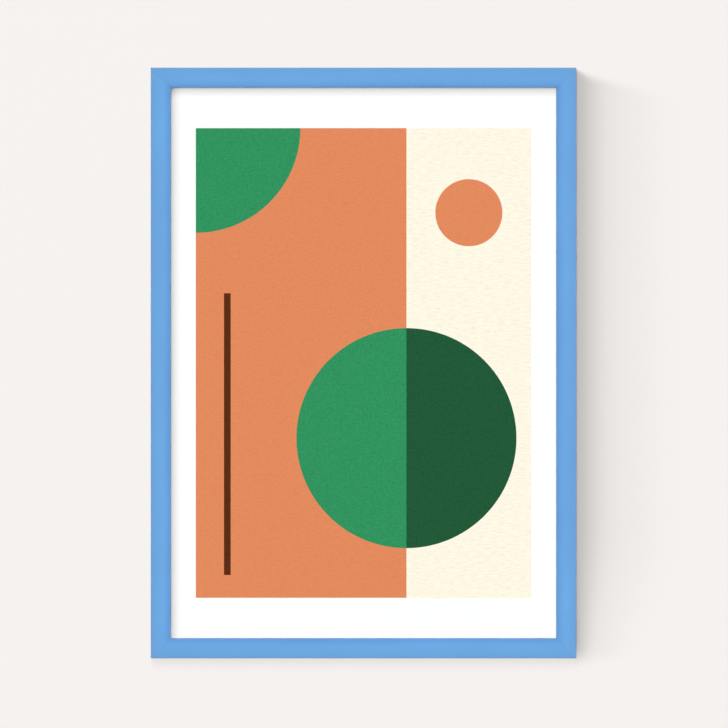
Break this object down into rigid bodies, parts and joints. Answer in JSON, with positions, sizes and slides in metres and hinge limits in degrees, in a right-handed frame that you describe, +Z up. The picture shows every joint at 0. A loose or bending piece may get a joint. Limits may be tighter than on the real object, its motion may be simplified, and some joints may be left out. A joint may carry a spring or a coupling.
{
  "type": "framed art print",
  "caption": "Portrait A3 art print under clear glass in a slim blue lacquered wood frame, with a recessed clip-held back and a sawtooth wall hanger.",
  "frame": {"origin": "seat of the wall nail, in the middle notch of the sawtooth hanger", "axes": "+Z up, along the long sides; +Y towards the wall; the picture faces -Y"},
  "size_m": [0.317, 0.022, 0.44],
  "materials": {
    "blue_lacquered_wood": "satin sky-blue lacquer on solid wood, bare at the back",
    "clear_glass": "clear float glass, low reflection",
    "printed_paper": "matt heavy uncoated paper, printed in flat colours inside a white border",
    "fibreboard": "raw medium-density fibreboard",
    "zinc_plated_steel": "bright zinc-plated stamped steel",
    "brass_plated_rivet": "brass-plated, satin"
  },
  "bodies": {
    "frame": {"rail_left": "blue_lacquered_wood", "rail_top": "blue_lacquered_wood", "rail_right": "blue_lacquered_wood", "rail_bottom": "blue_lacquered_wood", "v_nail_lower_left": "zinc_plated_steel", "v_nail_upper_left": "zinc_plated_steel", "v_nail_upper_right": "zinc_plated_steel", "v_nail_lower_right": "zinc_plated_steel", "glazing": "clear_glass", "art_print": "printed_paper", "backing_board": "fibreboard", "clip_rivet_top_left": "brass_plated_rivet", "clip_rivet_top_right": "brass_plated_rivet", "clip_rivet_right_upper": "brass_plated_rivet", "clip_rivet_right_lower": "brass_plated_rivet", "clip_rivet_bottom_right": "brass_plated_rivet", "clip_rivet_bottom_left": "brass_plated_rivet", "clip_rivet_left_lower": "brass_plated_rivet", "clip_rivet_left_upper": "brass_plated_rivet", "sawtooth_hanger": "zinc_plated_steel", "hanger_rivet_left": "brass_plated_rivet", "hanger_rivet_right": "brass_plated_rivet"},
    "clip_top_left": {"turn_clip_top_left": "zinc_plated_steel"},
    "clip_top_right": {"turn_clip_top_right": "zinc_plated_steel"},
    "clip_right_upper": {"turn_clip_right_upper": "zinc_plated_steel"},
    "clip_right_lower": {"turn_clip_right_lower": "zinc_plated_steel"},
    "clip_bottom_right": {"turn_clip_bottom_right": "zinc_plated_steel"},
    "clip_bottom_left": {"turn_clip_bottom_left": "zinc_plated_steel"},
    "clip_left_lower": {"turn_clip_left_lower": "zinc_plated_steel"},
    "clip_left_upper": {"turn_clip_left_upper": "zinc_plated_steel"}
  },
  "joints": [
    {"name": "swivel_top_left", "type": "hinge", "parent": "frame", "child": "clip_top_left", "pos_m": [-0.08, -0.0024, 0.0144], "axis": [0, 1, 0], "continuous": true},
    {"name": "swivel_top_right", "type": "hinge", "parent": "frame", "child": "clip_top_right", "pos_m": [0.08, -0.0024, 0.0144], "axis": [0, 1, 0], "continuous": true},
    {"name": "swivel_right_upper", "type": "hinge", "parent": "frame", "child": "clip_right_upper", "pos_m": [0.1329, -0.0024, -0.055], "axis": [0, 1, 0], "continuous": true},
    {"name": "swivel_right_lower", "type": "hinge", "parent": "frame", "child": "clip_right_lower", "pos_m": [0.1329, -0.0024, -0.305], "axis": [0, 1, 0], "continuous": true},
    {"name": "swivel_bottom_right", "type": "hinge", "parent": "frame", "child": "clip_bottom_right", "pos_m": [0.08, -0.0024, -0.3744], "axis": [0, 1, 0], "continuous": true},
    {"name": "swivel_bottom_left", "type": "hinge", "parent": "frame", "child": "clip_bottom_left", "pos_m": [-0.08, -0.0024, -0.3744], "axis": [0, 1, 0], "continuous": true},
    {"name": "swivel_left_lower", "type": "hinge", "parent": "frame", "child": "clip_left_lower", "pos_m": [-0.1329, -0.0024, -0.305], "axis": [0, 1, 0], "continuous": true},
    {"name": "swivel_left_upper", "type": "hinge", "parent": "frame", "child": "clip_left_upper", "pos_m": [-0.1329, -0.0024, -0.055], "axis": [0, 1, 0], "continuous": true}
  ]
}
